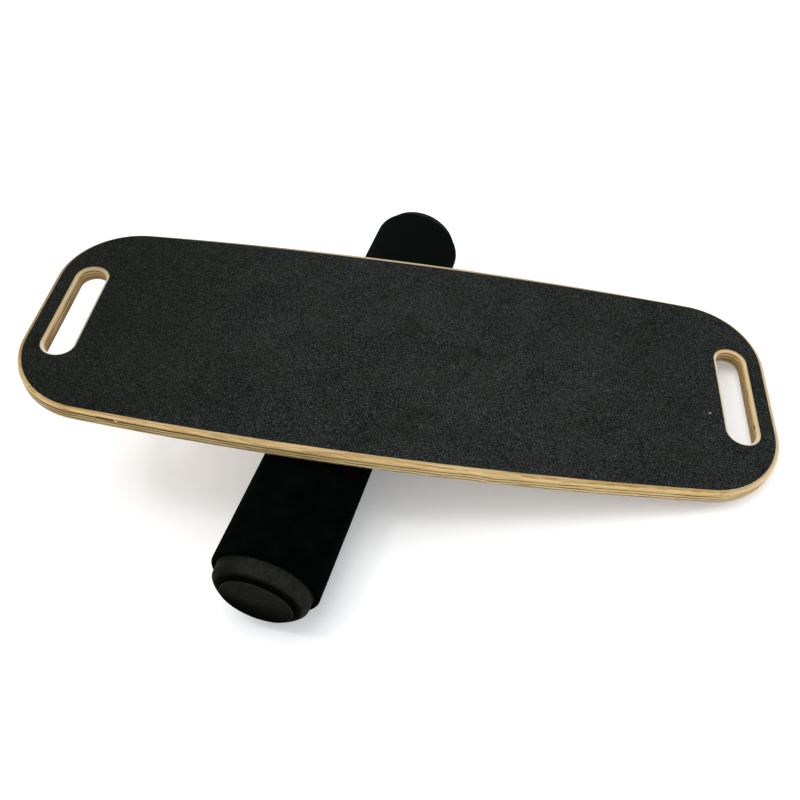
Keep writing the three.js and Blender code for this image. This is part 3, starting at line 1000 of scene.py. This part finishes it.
def screw_holes(centre_x):
    """Countersunk holes through a stop, a little wider than its screws, as one mesh to cut them with."""
    wide, narrow = SCREW_HEAD + HOLE_CLEARANCE, SCREW_SHANK + HOLE_CLEARANCE
    sink = [(wide, HOLE_START), (wide, SCREW_HEAD_RIM), (narrow, SCREW_HEAD_DEPTH)]
    shape, sides = screw_rings([*sink, (narrow, HOLE_END)])
    count = len(shape)
    points = []
    faces = []
    for i in range(SCREWS_PER_STOP):
        along = (i - (SCREWS_PER_STOP - 1) / 2) * SCREW_SPACING
        points += [(centre_x + x, along + y, SCREW_FACE + z) for x, y, z in shape]
        faces += [[i * count + corner for corner in face] for face in sides]
        faces.append([(i + 1) * count - SCREW_STEPS + corner for corner in range(SCREW_STEPS)])
    return mesh_of("screw_holes", points, [], faces)


# Stops, with all their edges eased and a hole for each screw
def stop_section():
    half_width = STOP_WIDTH / 2
    low = STOP_TOP - STOP_HEIGHT + STOP_ROUND
    section = [(half_width, STOP_TOP), (half_width, low)]
    section += arc((half_width - STOP_ROUND, low), STOP_ROUND, 0, -90, STOP_ROUND_STEPS)[1:]
    section += arc((STOP_ROUND - half_width, low), STOP_ROUND, -90, -180, STOP_ROUND_STEPS)
    section += [(-half_width, STOP_TOP)]
    section.reverse()
    return section


def stop_mesh(name, centre_x):
    section = stop_section()
    half = STOP_LENGTH / 2
    middle = STOP_TOP - STOP_HEIGHT / 2
    rows = [(-half, STOP_EASE), (-half + STOP_EASE_PART, STOP_EASE_PART), (-half + STOP_EASE, 0)]
    rows += [(-along, inset) for along, inset in reversed(rows)]
    points = []
    for along, inset in rows:
        shrink_x = 1 - 2 * inset / STOP_WIDTH
        shrink_z = 1 - 2 * inset / STOP_HEIGHT
        for x, z in section:
            points.append((centre_x + x * shrink_x, along, middle + (z - middle) * shrink_z))
    count = len(section)
    faces = [list(range(count))]
    for row in range(len(rows) - 1):
        first = row * count
        for i in range(count):
            j = (i + 1) % count
            faces.append([first + i, first + count + i, first + count + j, first + j])
    faces.append([(len(rows) - 1) * count + i for i in reversed(range(count))])
    return mesh_of(name, points, [], faces)


for side, label in ((-1, "left"), (1, "right")):
    name = f"{label}_stop"
    bar = carved(name, stop_mesh(name, side * STOP_X), screw_holes(side * STOP_X))
    stop = placed_piece(name, bar, deck_place)
    dress(stop, "board", "stop_hardwood", f"stop_{label}")


# Screws: one cross-recessed screw, repeated by a geometry tree
def screw_body():
    profile = [(SCREW_HEAD, 0), (SCREW_HEAD, SCREW_HEAD_RIM), (SCREW_SHANK, SCREW_HEAD_DEPTH)]
    points, faces = screw_rings([*profile, (SCREW_SHANK, SCREW_LENGTH - SCREW_POINT)])
    tip = len(points)
    last = tip - SCREW_STEPS
    faces += [[last + i, last + (i + 1) % SCREW_STEPS, tip] for i in range(SCREW_STEPS)]
    return mesh_of("screw", [*points, (0, 0, SCREW_LENGTH)], [], faces)


def cross_cutter():
    """A cross with tapering arms, which starts a little below the screw's face."""
    arm, width = RECESS_ARM, RECESS_HALF_WIDTH
    cross = [(arm, -width), (arm, width), (width, width), (width, arm), (-width, arm), (-width, width)]
    cross += [(-x, -y) for x, y in cross]
    low = [(x, y, RECESS_START) for x, y in cross]
    high = []
    for x, y in cross:
        on_x_arm = abs(x) > abs(y)
        taper_x = RECESS_TAPER_ALONG if on_x_arm else RECESS_TAPER_ACROSS
        taper_y = RECESS_TAPER_ACROSS if on_x_arm else RECESS_TAPER_ALONG
        high.append((x * taper_x, y * taper_y, RECESS_DEPTH))
    count = len(cross)
    sides = [[i, (i + 1) % count, count + (i + 1) % count, count + i] for i in range(count)]
    faces = [list(reversed(range(count))), *sides, list(range(count, 2 * count))]
    return mesh_of("drive", low + high, [], faces)


screw = linked("screw", carved("screw", screw_body(), cross_cutter()))
screws = grown(
    loops_object("screw_start", []),
    screws_tree(),
    {
        "Screw": screw,
        "Count": SCREWS_PER_STOP,
        "Spacing": SCREW_SPACING,
        "Row Place": STOP_X,
        "Finish": FINISHES["screw_steel"],
    },
    "stop_screws",
    deck_place @ Matrix.Translation((0, 0, SCREW_FACE * MM)),
)
bpy.data.objects.remove(screw)
screw_nodes = [f"stop_{label}_screw_{i + 1}" for label in ("left", "right") for i in range(SCREWS_PER_STOP)]
dress(screws, "board", "screw_steel", *screw_nodes)

# The tube inside the foam keeps its own solid
tube = frame["nodes"]["roller_tube"]
tube.data.materials.clear()
tube.data.materials.append(FINISHES["tube_plastic"])


# Floor and background
FLOOR_HALF = 6
FLOOR_TONE = (0.95, 0.95, 0.95, 1)
FLOOR_LIFT = 0.21
FAR_LIFT = 0.5
LIFT_FROM, LIFT_TO = 1.1, 2.4
LIFT_TONE = (0.95, 1, 1.06, 1)
ROOM_LIGHT = 0.66


def rays_that_show(work):
    """1 for rays that show the background: straight from the camera, in a reflection or through glass."""
    rays = work.add("ShaderNodeLightPath")
    return rays.of("Is Camera Ray").most(rays.of("Is Glossy Ray")).most(rays.of("Is Transmission Ray"))


def floor_material():
    """A pale matt floor that is lifted to white for the camera, and more so further away."""
    material = bpy.data.materials.new("floor")
    material.use_nodes = True
    work = Tree(material.node_tree)
    diffuse = work.add("ShaderNodeBsdfDiffuse", None, {"Color": FLOOR_TONE})
    place = work.add("ShaderNodeTexCoord").of("Object")
    distance = work.add("ShaderNodeVectorMath", {"operation": "LENGTH"}, {0: place}, output="Value")
    lift = work.spread(distance, LIFT_FROM, LIFT_TO, FLOOR_LIFT, FAR_LIFT)
    glow = work.add("ShaderNodeEmission", None, {"Color": LIFT_TONE, "Strength": rays_that_show(work) * lift})
    surface = work.add("ShaderNodeAddShader", None, {0: diffuse, 1: glow})
    work.add("ShaderNodeOutputMaterial", None, {"Surface": surface})
    return material


def studio_floor():
    corners = [(-1, -1), (1, -1), (1, 1), (-1, 1)]
    points = [(x * FLOOR_HALF, y * FLOOR_HALF, 0) for x, y in corners]
    floor = linked("floor", mesh_of("floor", points, [], [(0, 1, 2, 3)]))
    floor.data.materials.append(floor_material())


def studio_world():
    world = bpy.data.worlds.new("studio")
    bpy.context.scene.world = world
    world.use_nodes = True
    work = Tree(world.node_tree)
    strength = rays_that_show(work) * (1 - ROOM_LIGHT) + ROOM_LIGHT
    back = work.add("ShaderNodeBackground", None, {"Color": (1, 1, 1, 1), "Strength": strength})
    work.add("ShaderNodeOutputWorld", None, {"Surface": back})


studio_floor()
studio_world()

# Lamps: the name, place, width and power of each, in metres and watts
LAMP_TARGET = Vector((0, 0, 0.05))
LAMPS = [
    ("overhead", (0, 0.1, 2.0), 1.6, 13),
    ("left", (-2.0, 0, 1.3), 1.5, 8),
    ("right", (2.0, 0, 1.3), 1.5, 13),
    ("key", (-0.92, -0.36, 2.25), 0.42, 5.7),
]

for name, place, width, power in LAMPS:
    light = bpy.data.lights.new(name, "AREA")
    light.shape = "DISK"
    light.size = width
    light.energy = power
    lamp = linked(name, light)
    lamp.location = place
    lamp.rotation_euler = (LAMP_TARGET - Vector(place)).to_track_quat("-Z", "Y").to_euler()

# Camera, where the photograph was taken from: how it sees the middle of the grit sheet's top
VIEW_TURN = Vector((2.46212145, 0.157542822, 0.0637658264))
VIEW_OFFSET = Vector((-16.786, -53.073, 879.218))
PICTURE_SIZE = 800
FOCAL_LENGTH = 810.5 / PICTURE_SIZE
VIEW_SHIFT = (-22.51 / PICTURE_SIZE, 0.5 / PICTURE_SIZE)
SENSOR_WIDTH = 36


def photo_camera():
    """The camera. The turn and offset are in its own axes, with y down and z forwards."""
    turn = Matrix.Rotation(VIEW_TURN.length, 3, VIEW_TURN.normalized())
    eye = turn.transposed() @ -VIEW_OFFSET
    look = Matrix((turn[0], -turn[1], -turn[2])).transposed().to_4x4()
    from_sheet = deck_place @ Matrix.Translation((0, 0, GRIT_TOP * MM))
    data = bpy.data.cameras.new("photo")
    data.sensor_width = SENSOR_WIDTH
    data.lens = SENSOR_WIDTH * FOCAL_LENGTH
    data.shift_x, data.shift_y = VIEW_SHIFT
    data.clip_start, data.clip_end = 0.05, 50
    camera = linked("photo", data)
    camera.matrix_world = from_sheet @ Matrix.Translation(eye * MM) @ look
    bpy.context.scene.camera = camera


photo_camera()
bpy.context.scene.view_settings.view_transform = "Standard"

bpy.context.view_layer.update()
